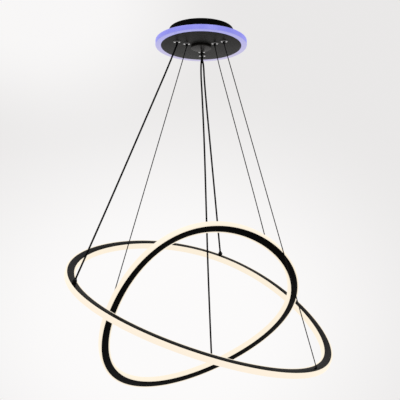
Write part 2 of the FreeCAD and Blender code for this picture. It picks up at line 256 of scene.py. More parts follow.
def outline_length(outline, closed=True):
    """Sum of the distances from each point to the next."""
    path = np.vstack([outline, outline[:1]]) if closed else outline
    return float(np.linalg.norm(np.diff(path, axis=0), axis=1).sum())


# %% [markdown]
# ## Turned pieces
#
# The canopy, its boss, the nozzles and the anchors are bodies of revolution. A Screw modifier turns an
# outline about one axis of its object, and a finished piece here has to sit unturned at the origin. So the
# points (r, z) of an outline go round any axis at any place by formula.

# %% Lathe
TURN_STEPS = 192


def basis(axis):
    """Two unit vectors square to an axis and to each other, and the axis as a unit vector."""
    axis = np.asarray(axis, float) / np.linalg.norm(axis)
    helper = [0.0, 1.0, 0.0] if abs(axis[1]) < 0.9 else [1.0, 0.0, 0.0]
    side = np.cross(helper, axis)
    side /= np.linalg.norm(side)
    return side, np.cross(axis, side), axis


def turned(name, outline, at=(0, 0, 0), axis=(0, 0, 1), steps=TURN_STEPS, closed=True):
    """at + r cos(t) side + r sin(t) other + z axis, for each point (r, z) of the outline and t once round."""
    side, other, axis = basis(axis)
    t = np.linspace(0, 2 * math.pi, steps, endpoint=False)[:, None, None]
    r, z = outline[None, :, 0, None], outline[None, :, 1, None]
    points = np.asarray(at, float) + r * np.cos(t) * side + r * np.sin(t) * other + z * axis
    size = (2 * math.pi * float(outline[:, 0].max()), outline_length(outline, closed))
    return grid_surface(name, points, (True, closed), size)


# %% [markdown]
# ## Finishes as arithmetic
#
# A procedural finish is a pattern that is worked out point by point. It could be drawn in the node editor, or
# written node by node, but both are long and hard to read. The small class below wraps a socket, so that a
# pattern is an ordinary expression in which each operator adds one Math node. Everything that isn't
# arithmetic comes from one method, `add`.

# %% A socket that can be calculated with
class Field:
    """A number or colour that varies over a surface. + - * on it add Math nodes, on either side."""

    def __init__(self, pattern, socket):
        self.pattern, self.socket = pattern, socket

    def maths(self, operation, *values):
        return self.pattern.add("Math", {"operation": operation}, dict(enumerate(values)))

    def __add__(self, other):
        return self.maths("ADD", self, other)

    __radd__ = __add__

    def __sub__(self, other):
        return self.maths("SUBTRACT", self, other)

    def __rsub__(self, other):
        return self.maths("SUBTRACT", other, self)

    def __mul__(self, other):
        return self.maths("MULTIPLY", self, other)

    __rmul__ = __mul__

    def ramp(self, low, high):
        """0 below low, 1 above high, and smooth between."""
        return self.pattern.add("MapRange", {"interpolation_type": "SMOOTHSTEP"},
                                {"Value": self, "From Min": low, "From Max": high})


# %% A node tree that is written as calls
class Pattern:
    """The node tree of a material or of the world."""

    def __init__(self, tree):
        self.tree = tree

    def add(self, kind, settings=None, sockets=None, output=0):
        """One node: its settings first, then the value or link of each named or numbered socket."""
        node = self.tree.nodes.new("ShaderNode" + kind)
        for key, value in (settings or {}).items():
            setattr(node, key, value)
        for key, value in (sockets or {}).items():
            self.feed(node.inputs[key], value)
        return Field(self, node.outputs[output])

    def feed(self, socket, value):
        """Links a field, or writes a value; a colour is written as three numbers and is opaque."""
        if isinstance(value, Field):
            self.tree.links.new(value.socket, socket)
        else:
            socket.default_value = (*value, 1.0) if socket.type == "RGBA" else value

    def mix(self, factor, a, b):
        """Colour a where the factor is 0, and b where it is 1."""
        return self.add("Mix", {"data_type": "RGBA"}, {"Factor": factor, 6: a, 7: b}, output=2)

    def length(self, vector):
        """Distance of a vector from zero."""
        return self.add("VectorMath", {"operation": "LENGTH"}, {0: vector}, output="Value")

    def seen(self):
        """1 for what the camera or a reflection shows, and 0 for the light that falls on other things."""
        rays = [self.add("LightPath", output=ray) for ray in ("Is Camera Ray", "Is Glossy Ray")]
        return rays[0].maths("MAXIMUM", *rays)


# %% A finish under construction
class Finish(Pattern):
    """A new material and its main shader."""

    def __init__(self, name):
        self.material = bpy.data.materials.new(name)
        self.material.use_nodes = True
        super().__init__(self.material.node_tree)
        self.shader = self.tree.nodes["Principled BSDF"]

    def place(self):
        """Object coordinates, in metres."""
        return self.add("TexCoord", output="Object")

    def along(self):
        """The piece's own UV map: first direction along or round the piece, second across it, in metres."""
        return self.add("UVMap", {"uv_map": "metres"})

    def noise(self, where, scale, detail=2.0, stretch=(1.0, 1.0, 1.0)):
        """Soft random pattern between 0 and 1, with about scale * stretch waves per metre each way."""
        moved = self.add("VectorMath", {"operation": "MULTIPLY"}, {0: where, 1: stretch})
        return self.add("TexNoise", {}, {"Vector": moved, "Scale": scale, "Detail": detail}, output="Fac")

    def bump(self, height, depth):
        """Normal from a height between 0 and 1 that stands for a depth in metres."""
        return self.add("Bump", {}, {"Height": height, "Distance": depth, "Strength": 1.0})

    def surface(self, **sockets):
        """Feeds the shader's sockets, their names written with _ for a space."""
        for key, value in sockets.items():
            self.feed(self.shader.inputs[key.replace("_", " ")], value)
        return self.material


# %% [markdown]
# ## Black coats
#
# The canopy is sheet steel with a fine powder coat: satin, with the slight orange peel that such a coat has.
# The rings are coated extrusions, drawn through a die, so their coat shows very faint lines along the ring.
# One flat black would look like plastic nearby, so each coat has its own small pattern. A coat hides the
# metal, so these aren't metallic, apart from the boss, whose thin, glossier coat is partly so.

# %% Powder coat of the canopy
TONE_SPREAD = 0.15      # part of a colour by which its darker and its lighter tone differ from it
CLOUD = (0.3, 0.7)      # the part of a noise that runs from one tone to the other
PEEL_WAVES, PEEL_DEPTH, CLOUD_WAVES = 900.0, 0.00004, 14.0


def tones(colour):
    """The colour made darker, and made lighter."""
    return [tuple(c * (1 + spread) for c in colour) for spread in (-TONE_SPREAD, TONE_SPREAD)]


def powder_coat(name, colour, roughness, specular, metallic=0.0):
    """Orange peel in the bump and the gloss, and broad clouds in the tone."""
    f = Finish(name)
    peel = f.noise(f.place(), PEEL_WAVES, 3.0)
    cloud = f.noise(f.place(), CLOUD_WAVES)
    return f.surface(Base_Color=f.mix(cloud.ramp(*CLOUD), *tones(colour)),
                     Roughness=roughness - 0.05 + 0.1 * peel, Specular_IOR_Level=specular,
                     Metallic=metallic, Normal=f.bump(peel, PEEL_DEPTH))


canopy_black = powder_coat("canopy_powder_coat", (0.032, 0.0315, 0.030), 0.34, 0.036)
boss_black = powder_coat("boss_powder_coat", (0.018, 0.016, 0.0145), 0.2, 0.05, 0.4)
drum_black = powder_coat("drum_powder_coat", (0.0008, 0.0008, 0.0008), 0.5, 0.015)

# %% Coat of the extruded channel
DIE_LINES, LINE_DEPTH = (3.0, 2600.0, 1.0), 0.00002


def extrusion_coat(name, colour, roughness, specular):
    """Faint die lines: noise over the UV map with few waves along the ring and many across it."""
    f = Finish(name)
    lines = f.noise(f.along(), 1.0, stretch=DIE_LINES)
    grain = f.noise(f.place(), 1500.0)
    return f.surface(Base_Color=f.mix(lines, *tones(colour)),
                     Roughness=roughness - 0.06 + 0.08 * lines + 0.04 * grain,
                     Specular_IOR_Level=specular, Normal=f.bump(0.6 * lines + 0.4 * grain, LINE_DEPTH))


ring_black = extrusion_coat("ring_coat", (0.0008, 0.0008, 0.0008), 0.36, 0.031)
fitting_black = powder_coat("fitting_coat", (0.003, 0.003, 0.003), 0.4, 0.06)

# %% Two tones of a grip
SLEEVE_TOP, STEEL_END = GRIP_Z - 0.0016, GRIP_Z - 0.0008


def grip_finish():
    """Satin steel flange that turns into a black sleeve a little below it, by the height on the object."""
    f = Finish("grip_steel_and_sleeve")
    height = f.add("SeparateXYZ", {}, {0: f.place()}, output=2)
    steel = height.ramp(SLEEVE_TOP, STEEL_END)
    grain = f.noise(f.place(), 1200.0)
    return f.surface(Base_Color=f.mix(steel, (0.003, 0.003, 0.003), (0.22, 0.22, 0.22)),
                     Roughness=0.36 + 0.1 * grain, Specular_IOR_Level=0.06,
                     Metallic=0.7 * steel, Normal=f.bump(grain, 0.00001))


grip_steel = grip_finish()
print("black finishes:", len(bpy.data.materials))

# %% [markdown]
# ## Lit acrylic
#
# The opal profile hides a row of LEDs. Scattering inside the plastic would be slow to render, so the surface
# gives off the light itself: warm on the shoulder beside the black channel and paler on the wall, most of all
# on the outer one. The body colour under the light stays dark, because room light adds to what the acrylic
# gives off and would turn it white where it faces up.

# %% Warm acrylic of the rings
SHOULDER_GLOW, WALL_GLOW = (0.966, 0.862, 0.686), (1.0, 0.884, 0.728)


def ring_acrylic():
    """The piece's value "wall" goes from 0 on the shoulders to 1 on the outer wall, and mixes two glows."""
    f = Finish("ring_opal_acrylic")
    wall = f.add("Attribute", {"attribute_name": "wall"}, output="Fac")
    ripple = f.noise(f.along(), 1.0, 1.0, (40.0, 60.0, 1.0))
    body = f.mix(ripple, (0.075, 0.07, 0.065), (0.095, 0.09, 0.085))
    return f.surface(Base_Color=body, Roughness=0.46 + 0.06 * ripple,
                     Emission_Color=f.mix(wall, SHOULDER_GLOW, WALL_GLOW), Emission_Strength=0.94,
                     Specular_IOR_Level=0.12)


ring_opal = ring_acrylic()

# %% Blue-violet acrylic of the rim
FRONT_Y, BACK_Y = -0.14, 0.12       # where the underside has its deeper and its paler tone


def halo_acrylic():
    """Bluer on the side wall and paler on the underside, most of all at the back; faint clouds, as the LEDs
    behind are uneven. The piece's value "under" is 1 on the underside and 0 on the wall."""
    f = Finish("halo_opal_acrylic")
    under = f.add("Attribute", {"attribute_name": "under"}, output="Fac")
    cloud = f.noise(f.place(), 22.0, 1.0)
    side = f.mix(cloud.ramp(*CLOUD), (0.165, 0.17, 0.79), (0.205, 0.205, 0.85))
    depth = f.add("SeparateXYZ", {}, {0: f.place()}, output=1)
    face = f.mix(depth.ramp(FRONT_Y, BACK_Y), (0.36, 0.36, 0.84), (0.53, 0.49, 0.71))
    return f.surface(Base_Color=(0.16, 0.16, 0.24), Roughness=0.32 + 0.06 * cloud,
                     Emission_Color=f.mix(under, side, face), Emission_Strength=0.8,
                     Specular_IOR_Level=0.4)


halo_opal = halo_acrylic()

# %% [markdown]
# ## Cords, wires and small metal
#
# The cords are flex with a smooth black sheath. The thin wires are stranded steel with a dark finish; their
# strands are modelled. Screws are bright nickel, and what sits inside the canopy is zinc, brass and plain
# plastic. Each could have a node tree of its own, but at this size they differ only in tone, gloss and grain,
# so one function with a few numbers makes them all.

# %% Sheath, wire and metals
GLOSS_SPREAD = 0.06     # how far the roughness wanders to either side
CLOUD_SIZE = 40         # of the broad clouds, in sizes of the fine grain


def plain_finish(name, dark, light, roughness, scale, depth, metallic=0.0, specular=0.5):
    """A finish whose colour and gloss wander a little between two tones, with a fine bump."""
    f = Finish(name)
    fine, broad = f.noise(f.place(), scale, 3.0), f.noise(f.place(), scale / CLOUD_SIZE)
    return f.surface(Base_Color=f.mix(broad.ramp(*CLOUD), dark, light),
                     Roughness=roughness - GLOSS_SPREAD + 2 * GLOSS_SPREAD * fine,
                     Metallic=metallic, Specular_IOR_Level=specular, Normal=f.bump(fine, depth))


sheath = plain_finish("cord_sheath", (0.0015, 0.0015, 0.0015), (0.003, 0.003, 0.003), 0.6, 3000.0, 0.00001,
                      specular=0.02)
steel_wire = plain_finish("stranded_wire", (0.004, 0.004, 0.004), (0.008, 0.008, 0.008), 0.6, 4000.0,
                          0.000005, specular=0.04)
nickel = plain_finish("bright_nickel", (0.98, 0.98, 0.98), (1.0, 1.0, 1.0), 0.2, 2500.0, 0.000004, 1.0)
zinc = plain_finish("zinc_plate", (0.48, 0.5, 0.53), (0.6, 0.6, 0.58), 0.38, 1200.0, 0.000012, 1.0)
brass = plain_finish("plain_brass", (0.6, 0.42, 0.16), (0.72, 0.52, 0.22), 0.32, 1500.0, 0.00001, 1.0)
case_white = plain_finish("moulded_case", (0.70, 0.70, 0.68), (0.76, 0.76, 0.74), 0.5, 1400.0, 0.00003)
nylon = plain_finish("terminal_nylon", (0.62, 0.61, 0.56), (0.68, 0.67, 0.62), 0.42, 900.0, 0.00002)
foam = plain_finish("foam_tape", (0.05, 0.05, 0.05), (0.09, 0.09, 0.09), 0.85, 1100.0, 0.00015)

# %% LED strip
DOTS_PER_METRE, DOT_EDGE = 70.0, (0.28, 0.34)


def led_strip_finish():
    """Cream strip with phosphor dots: a dot where the distance to the nearest cell centre is small."""
    f = Finish("led_strip")
    cells = f.add("TexVoronoi", {"feature": "F1"},
                  {"Vector": f.place(), "Scale": DOTS_PER_METRE, "Randomness": 0.0})
    dot = 1.0 - cells.ramp(*DOT_EDGE)
    # painted light: the board between the dots is given a faint warm glow of its own, the dots' spill painted
    # onto it
    return f.surface(Base_Color=f.mix(dot, (0.75, 0.72, 0.62), (0.95, 0.72, 0.15)),
                     Roughness=0.5 - 0.15 * dot,
                     Emission_Color=f.mix(dot, (0.3, 0.26, 0.18), (1.0, 0.88, 0.6)), Emission_Strength=1.0)


strip_finish = led_strip_finish()
print("finishes:", len(bpy.data.materials))

# %% [markdown]
# ## Cords and wires
#
# All six carry a ring, so each is upright in its grip, turns round the edge of the mouth and runs to its
# anchor. A cylinder between two points would look too stiff: a flex that was once coiled never hangs quite
# straight, so four of them lie a few millimetres beside the straight line, at listed places. A smooth curve
# follows those places, and a tube of points goes round it. The three of the large ring are attached to the
# suspension, and the three of the small ring stay where they are drawn.

# %% Where each cord runs
CORD_ANCHOR = dict(foot_r=0.0062, foot_h=0.0030, ball_r=0.0066, ball_at=0.0060, bite=0.0040, bore=0.0027)
WIRE_ANCHOR = dict(foot_r=0.0036, foot_h=0.0016, ball_r=0.0028, ball_at=0.0026, bite=0.0020, bore=0.0015)
CORD_TAIL, BEND = 0.001, 0.004      # from the plate's underside up, and from the mouth up and down
CLEAR = 0.0005                      # below the cord's end, inside the ball
HANGERS = {("large", "left"): "cord", ("large", "back"): "cord", ("large", "right"): "wire",
           ("small", "left"): "wire", ("small", "back"): "cord", ("small", "right"): "wire"}
BOWS = {     # part of the run, and how far the cord lies beside the straight line there
    "large_cord_left": [(0.1, (0.0012, 0, -0.0027)), (0.25, (0, 0, -0.0056)), (0.5, (-0.0006, 0, -0.0076)),
                        (0.75, (0, 0, -0.0052))],
    "large_cord_back": [(0.035, (0.0026, 0, 0)), (0.12, (-0.0002, 0, 0)), (0.5, (0, 0, 0))],
    "small_cord_back": [(0.05, (-0.0048, 0, 0)), (0.14, (-0.0026, 0, 0)), (0.3, (-0.0008, 0, 0)),
                        (0.5, (-0.0016, 0, 0)), (0.75, (-0.0024, 0, 0))],
    "small_wire_right": [(0.1, (-0.0024, 0, 0)), (0.3, (-0.0016, 0, 0)), (0.55, (-0.0008, 0, 0)),
                         (0.8, (0.0004, 0, 0))]}


def exit_point(ring, place, z=MOUTH_Z):
    """Point on the circle of this ring's exits, in the mouth of the grip or at height z."""
    a = math.radians(EXIT_ANGLES[place])
    return np.array([ring["exit_r"] * math.cos(a), ring["exit_r"] * math.sin(a), z])


def cord_ends(ring, place, kind):
    """Mouth of the grip, lower end inside the ball of the anchor, and the direction between them. The ball's
    centre lies on the seat's normal, and the cord stops short of it by radius - bite + clearance."""
    seat, axis = seat_of(ring, place)
    ball, leaves = seat + axis * kind["ball_at"], exit_point(ring, place)
    down = (ball - leaves) / np.linalg.norm(ball - leaves)
    return leaves, ball - down * (kind["ball_r"] - kind["bite"] + CLEAR), down


def route(leaves, end, down, bow):
    """Control points: upright inside the grip, a short turn at the mouth, and the run with its bow."""
    top = np.array([leaves[0], leaves[1], PLATE_Z + CORD_TAIL])
    turn = [top, leaves + [0, 0, BEND], leaves, leaves + down * BEND]
    run = [leaves + (end - leaves) * part + np.array(beside) for part, beside in bow]
    return turn + run + [end]


# %% Centre line of a cord
def smooth_line(name, controls, samples=240):
    """Points of a NURBS curve of order 3 through the first and the last control point."""
    data = bpy.data.curves.new(name, "CURVE")
    data.dimensions, data.resolution_u = "3D", max(2, samples // (len(controls) - 1))
    spline = data.splines.new("NURBS")
    spline.points.add(len(controls) - 1)
    for point, place in zip(spline.points, controls):
        point.co = (*place, 1.0)
    spline.order_u, spline.use_endpoint_u = min(3, len(controls)), True
    holder = bpy.data.objects.new(name, data)
    line_mesh = bpy.data.meshes.new_from_object(holder)
    line = np.array([v.co for v in line_mesh.vertices], float)
    bpy.data.objects.remove(holder)
    bpy.data.meshes.remove(line_mesh)
    return line


def finer(line, spacing):
    """The same line with points at even spacing, and the distance of each point along it."""
    along = np.concatenate([[0], np.cumsum(np.linalg.norm(np.diff(line, axis=0), axis=1))])
    at = np.linspace(0, along[-1], max(2, int(round(along[-1] / spacing)) + 1))
    return np.stack([np.interp(at, along, line[:, i]) for i in range(3)], 1), at


# %% Tube round a centre line
def tube(name, line, at, radius_of, sides, sharp=50.0):
    """line + radius (cos(t) side + sin(t) other), for every point of the line and t once round, where side
    and other are square to the line and radius_of(distance, t) gives the section's radius. A row of equal
    points at each end closes it."""
    tangent = np.gradient(line, axis=0)
    tangent /= np.linalg.norm(tangent, axis=1, keepdims=True)
    side = np.cross([0.0, 1.0, 0.0], tangent)
    side /= np.linalg.norm(side, axis=1, keepdims=True)
    other = np.cross(tangent, side)
    t = np.linspace(0, 2 * math.pi, sides, endpoint=False)
    radius = radius_of(at[:, None], t[None, :])[..., None]
    outward = np.cos(t)[None, :, None] * side[:, None] + np.sin(t)[None, :, None] * other[:, None]
    wall = line[:, None] + radius * outward
    ends = [np.repeat(line[i][None, None], sides, 1) for i in (0, -1)]
    return grid_surface(name, np.concatenate([ends[0], wall, ends[1]]), (False, True),
                        (float(at[-1]), 2 * math.pi * float(radius.mean())), sharp)


def round_sheath(radius):
    """The same radius everywhere."""
    return lambda s, t: np.full(np.broadcast(s, t).shape, radius)


def stranded(radius, strands=6, lay=0.016, groove=0.1):
    """Outer strands that wind round once in each lay: the radius rises and falls with the turned angle."""
    return lambda s, t: radius * (1 - groove
                                  + groove * np.abs(np.cos(strands / 2 * (t - 2 * math.pi * s / lay))))


CORD_STEP, CORD_SIDES = 0.002, 20
WIRE_STEP, WIRE_SIDES = 0.0016, 18

slides = {j["name"]: j["range_m"] for j in frame["joints"] if j["type"] == "slide"}
large_rise = max(abs(x) for x in slides["large_ring_height"])
for ring in (LARGE, SMALL):
    for place in ring["hang"]:
        word = HANGERS[ring["name"], place]
        is_cord = word == "cord"
        kind, width = (CORD_ANCHOR, CORD_D) if is_cord else (WIRE_ANCHOR, WIRE_D)
        leaves, end, down = cord_ends(ring, place, kind)
        node = f"{ring['name']}_{word}_{place}"
        controls = route(leaves, end, down, BOWS.get(node, []))
        line, at = finer(smooth_line(node + "_line", controls), CORD_STEP if is_cord else WIRE_STEP)
        section = round_sheath(width / 2) if is_cord else stranded(width / 2)
        piece = tube(node + "_dressed", line, at, section, CORD_SIDES if is_cord else WIRE_SIDES)
        piece.data.materials.append(sheath if is_cord else steel_wire)
        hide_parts(node)
        if ring is LARGE:
            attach(piece, "suspension")
            1 - large_rise / float(leaves[2] - end[2])
            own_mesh(piece)
        else:
            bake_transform(piece)
        print(f"{node}: {at[-1]:.3f} m")

# %% [markdown]
# ## The black channels
#
# The channel is an H lying on its side: a web, two flanges, and a groove on each side. A straight extrusion
# could be bent round with modifiers, but that twists it and leaves a seam. Its outline is written once, every
# corner rounded, and carried along the ring's formula, which gives a smooth hoop that closes on itself.

# %% Carry an outline round a ring
RING_STEPS = 540


def hoop(name, ring, outline):
    """ring_points(angle, out, rise) for every angle and every point (out, rise) of the outline."""
    angles = np.linspace(0, 360, RING_STEPS, endpoint=False)
    points = ring_points(ring, angles[:, None], outline[None, :, 0], outline[None, :, 1])
    return grid_surface(name, points, size=(2 * math.pi * ring["radius"], outline_length(outline)))


# %% Channels
EDGE_R, LIP_R = 0.0004, 0.0002      # radii of its outer edges and groove, and of the flange's inner edge


def channel_outline():
    """Six corners of the right half, from the top edge into the groove and out again, and their mirror
    images on the left."""
    w, h, web, inner = CHANNEL_W / 2, RING_H / 2, WEB_T / 2, RING_H / 2 - FLANGE_T
    right_half = [(w, h), (w, inner), (web, inner), (web, -inner), (w, -inner), (w, -h)]
    corners = right_half + [(-out, rise) for out, rise in reversed(right_half)]
    return rounded(corners, [EDGE_R, LIP_R, EDGE_R, EDGE_R, LIP_R, EDGE_R] * 2, 3)


for ring in (LARGE, SMALL):
    node = f"{ring['name']}_ring_channel"
    piece = hoop(node + "_dressed", ring, channel_outline())
    piece.data.materials.append(ring_black)
    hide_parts(node)
    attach(piece, f"{ring['name']}_ring")
    print(f"{node}: {len(piece.data.polygons)} faces")

# %% [markdown]
# ## The lit profiles
#
# Each groove is closed by an opal profile. Its tongue stands in the groove, and its head covers the flange
# edges, level with the black faces. The outer corners of the head are softly rounded. It could be a plain
# band, but then the shoulders that glow beside the black face would be missing. A value on each point tells
# the finish how far out on the head it lies, so that the light can change from shoulder to wall.

# %% Diffusers
HEAD_ROUND = 0.0022                     # outer corners of the head
WALL_FROM, WALL_OVER = 0.002, 0.00235   # the wall's light begins so far out from the channel, and fades in
WALL_LIGHT = {"outer": 1.0, "inner": 0.4}


def diffuser_outline():
    """Four corners of the upper half, from the tongue outwards, and their mirror images below."""
    w, h, far = CHANNEL_W / 2 + GAP, RING_H / 2, RING_W / 2
    lip = h - FLANGE_T - GAP
    top = [(w - TONGUE, lip), (w, lip), (w, h), (far, h)]
    corners = top + [(out, -rise) for out, rise in reversed(top)]
    radii = [0.0003, 0.0002, 0.0005, HEAD_ROUND]
    return rounded(corners, radii + radii[::-1], 6)


for ring in (LARGE, SMALL):
    for side, word in ((1, "outer"), (-1, "inner")):
        node = f"{ring['name']}_ring_{word}_diffuser"
        outline = diffuser_outline()
        piece = hoop(node + "_dressed", ring, outline * np.array([side, 1.0]))
        wall = WALL_LIGHT[word] * np.clip((outline[:, 0] - CHANNEL_W / 2 - WALL_FROM) / WALL_OVER, 0, 1)
        give_value(piece, "wall", np.tile(wall, RING_STEPS))
        piece.data.materials.append(ring_opal)
        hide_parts(node)
        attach(piece, f"{ring['name']}_ring")
        print(f"{node}: {len(outline)} points in its outline")

# %% [markdown]
# ## Anchors
#
# A cord ends in a small black ball joint on the ring. The foot sits on the channel's top face, and a lip
# marks the bore that the cord runs into. A Boolean cut would leave ragged faces on so small a ball, so the
# lip is a ring of its own, turned towards the cord, and the cord stands in it.

# %% Several meshes as one piece
def joined(name, parts):
    """The first mesh takes in the others and gets the piece's name."""
    with bpy.context.temp_override(active_object=parts[0], selected_editable_objects=parts):
        bpy.ops.object.join()
    parts[0].name = parts[0].data.name = name
    return parts[0]


# %% Anchors on the rings
FOOT_GAP = 0.00004      # keeps the foot's underside off the channel's face
LIP_WALL, LIP_SUNK, LIP_PROUD = 0.35, 0.3, 0.15     # parts of the bore's radius, and of the ball's


def anchor(ring, place, kind):
    """Foot and ball as one turned outline, in which the ball is an arc of centre height + r sin(t) from the
    foot to the pole, and a lip round the cord where it enters the ball."""
    seat, axis = seat_of(ring, place)
    r, centre, foot_r, foot_h = kind["ball_r"], kind["ball_at"], kind["foot_r"], kind["foot_h"]
    t = np.linspace(math.asin((foot_h - centre) / r), math.pi / 2, 17)
    ball = np.stack([r * np.cos(t), centre + r * np.sin(t)], 1)
    foot = rounded([(0, FOOT_GAP), (foot_r, FOOT_GAP), (foot_r, foot_h), tuple(ball[0])],
                   [0, 0.0002, 0.0006, 0], closed=False)
    body = turned("body", np.vstack([foot, ball[1:]]), seat, axis, 48, closed=False)
    leaves, end, down = cord_ends(ring, place, kind)
    mouth = end - down * (kind["bite"] - CLEAR)
    bore, wall = kind["bore"], kind["bore"] * LIP_WALL
    sunk, proud = -LIP_SUNK * r, LIP_PROUD * r
    section = rounded([(bore, sunk), (bore, proud), (bore + wall, proud), (bore + wall, sunk)], 0.3 * wall, 3)
    return joined(f"{ring['name']}_anchor_{place}_dressed", [body, turned("lip", section, mouth, -down, 32)])


for ring in (LARGE, SMALL):
    for place in ring["hang"]:
        kind = CORD_ANCHOR if HANGERS[ring["name"], place] == "cord" else WIRE_ANCHOR
        piece = anchor(ring, place, kind)
        piece.data.materials.append(fitting_black)
        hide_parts(f"{ring['name']}_anchor_{place}")
        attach(piece, f"{ring['name']}_ring")
print("last anchor:", len(piece.data.polygons), "faces")

# %% [markdown]
# ## The canopy
#
# From below the canopy is a black plate inside a lit rim, with a boss in the middle; the drum above it is
# narrower. Bevelled cylinders would come close, but rim and plate have steps that fit into each other, so all
# of these are turned outlines with small radii at their edges, one short list of corners each.

# %% Drum and back plate
def canopy_piece(node, outline, material, closed=True):
    """Turned outline that replaces a node of the canopy and moves with it."""
    piece = turned(node + "_dressed", outline, closed=closed)
    piece.data.materials.append(material)
    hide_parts(node)
    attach(piece, "canopy")
    print(f"{node}: {outline[:, 0].max() * 2000:.1f} mm across, {np.ptp(outline[:, 1]) * 1000:.1f} mm high")
    return piece


FLARE_R, FLARE_H = 0.0012, 0.0015       # the drum's foot, where it meets the rim
drum_in = DRUM_R - SHEET
canopy_piece("base_cover", rounded([(DRUM_R, 0), (DRUM_R, HALO_TOP + FLARE_H), (DRUM_R + FLARE_R, HALO_TOP),
                                    (drum_in, HALO_TOP), (drum_in, 0)],
                                   [0.0004, 0.0015, 0.0002, 0.0002, 0.0004]), drum_black)
back_r = REBATE_R - 2 * GAP
canopy_piece("back_plate", rounded([(back_r, BACK_Z), (back_r, HALO_TOP), (drum_in, HALO_TOP),
                                    (drum_in, BACK_Z)], 0.0003), drum_black)

# %% Lit rim
RIM_ROUND, LEDGE_W, LEDGE_T, RIM_T = 0.0022, 0.004, 0.0015, 0.003
ledge, inner = PLATE_Z + PLATE_T, HALO_R - RIM_T
rim_outline = rounded([(HALO_R, HALO_TOP), (HALO_R, PLATE_Z), (PLATE_R, PLATE_Z), (PLATE_R, ledge),
                       (PLATE_R - LEDGE_W, ledge), (PLATE_R - LEDGE_W, ledge + LEDGE_T),
                       (inner, ledge + LEDGE_T), (inner, BACK_Z), (REBATE_R, BACK_Z), (REBATE_R, HALO_TOP)],
                      [0.0005, RIM_ROUND, 0.0003, 0, 0.0003, 0.0003, 0.0008, 0.0002, 0, 0.0002], 6)
rim = canopy_piece("halo_diffuser", rim_outline, halo_opal)
under = np.clip(1 - (rim_outline[:, 1] - PLATE_Z) / RIM_ROUND, 0, 1)
give_value(rim, "under", np.tile(under, TURN_STEPS))

# %% Bottom plate and boss
CAP_GAP = 0.00005       # keeps the boss off the plate's face
tray_in = TRAY_R - SHEET
plate_outline = rounded([(0, PLATE_Z), (PLATE_R, PLATE_Z), (PLATE_R, ledge), (TRAY_R, ledge),
                         (TRAY_R, BACK_Z), (tray_in, BACK_Z), (tray_in, ledge), (0, ledge)],
                        [0, 0.0004, 0.0002, 0, 0.0003, 0.0003, 0.0008, 0], closed=False)
canopy_piece("bottom_plate", plate_outline, canopy_black, closed=False)

# the dome hangs lowest in the middle and rises with the square of the radius, up to the rounded edge
t = np.linspace(0, 1, 13)
cap_face, cap_back = PLATE_Z - CAP_H, PLATE_Z - CAP_GAP
dome = np.stack([(CAP_R - CAP_ROUND) * t, cap_face - CAP_DOME * (1 - t * t)], 1)
cap_edge = rounded([tuple(dome[-2]), (CAP_R, cap_face), (CAP_R, cap_back), (0, cap_back)],
                   [0, CAP_ROUND, 0.0002, 0], 8, closed=False)
canopy_piece("centre_cap", np.vstack([dome[:-2], cap_edge]), boss_black, closed=False)

# %% [markdown]
# ## Grips and their screws
#
# Each cord leaves the canopy through an oval flange with a nozzle, held by two bright screws. The screws are
# only a few millimetres wide, but against the black plate their heads are what the eye finds. A bump in the
# finish would fade at a slant, so each head is a domed disc whose cross recess is part of its shape.

# %% Grips
NOZZLE_TIP_R, NOZZLE_FOOT_R, NOZZLE_IN = 0.0034, 0.0039, 0.001
GRIP_BORES = {"cord": 0.0028, "wire": 0.0019}
EDGE_LAYERS = [(0, 0), (0, 0.0005 - GRIP_T), (0.00015, 0.00015 - GRIP_T), (0.0005, -GRIP_T)]    # inset, z


def oval_plate(name, at, steps=96):
    """Layers of one oval, pulled in slightly at the lower edge, and closed in the middle on both sides. The
    oval is a circle whose halves are moved apart along x by the clipped cosine."""
    t = np.linspace(0, 2 * math.pi, steps, endpoint=False)
    apart = np.clip(np.cos(t) * 4, -1, 1) * (GRIP_L - GRIP_W) / 2
    layers = [np.stack([apart + (GRIP_W / 2 - inset) * np.cos(t), (GRIP_W / 2 - inset) * np.sin(t),
                        np.full(t.shape, z)], 1) for inset, z in EDGE_LAYERS]
    middle = [np.repeat([[0, 0, z]], steps, 0) for z in (0, -GRIP_T)]
    points = np.stack([middle[0], *layers, middle[1]], 1) + np.asarray(at)
    return grid_surface(name, points, (True, False))


def grip(ring, place, word):
    """Flange, and a nozzle as a turned outline: down inside the bore, and up the tapered outer side."""
    at, bore = exit_point(ring, place, PLATE_Z), GRIP_BORES[word]
    mouth, foot = -GRIP_T - NOZZLE_H, -GRIP_T + NOZZLE_IN
    nozzle = rounded([(bore, mouth), (NOZZLE_TIP_R, mouth), (NOZZLE_FOOT_R, -GRIP_T), (NOZZLE_FOOT_R, foot),
                      (bore, foot)], [0.0002, 0.0003, 0.0002, 0, 0])
    parts = [oval_plate("flange", at), turned("nozzle", nozzle, at, steps=48)]
    return joined(f"{ring['name']}_grip_{place}_dressed", parts)


# %% Screw head
SCREW_SPACING, SCREW_HEAD_R, SCREW_HEAD_H, SCREW_DOME = 0.0135, 0.00275, 0.0018, 0.0003
SLOT_HALF, SLOT_REACH, SLOT_DEPTH = 0.00032, 0.0013, 0.0008
SLOT_SLOPE, SLOT_END = 0.00012, 0.0002      # widths over which its sides and its ends slope


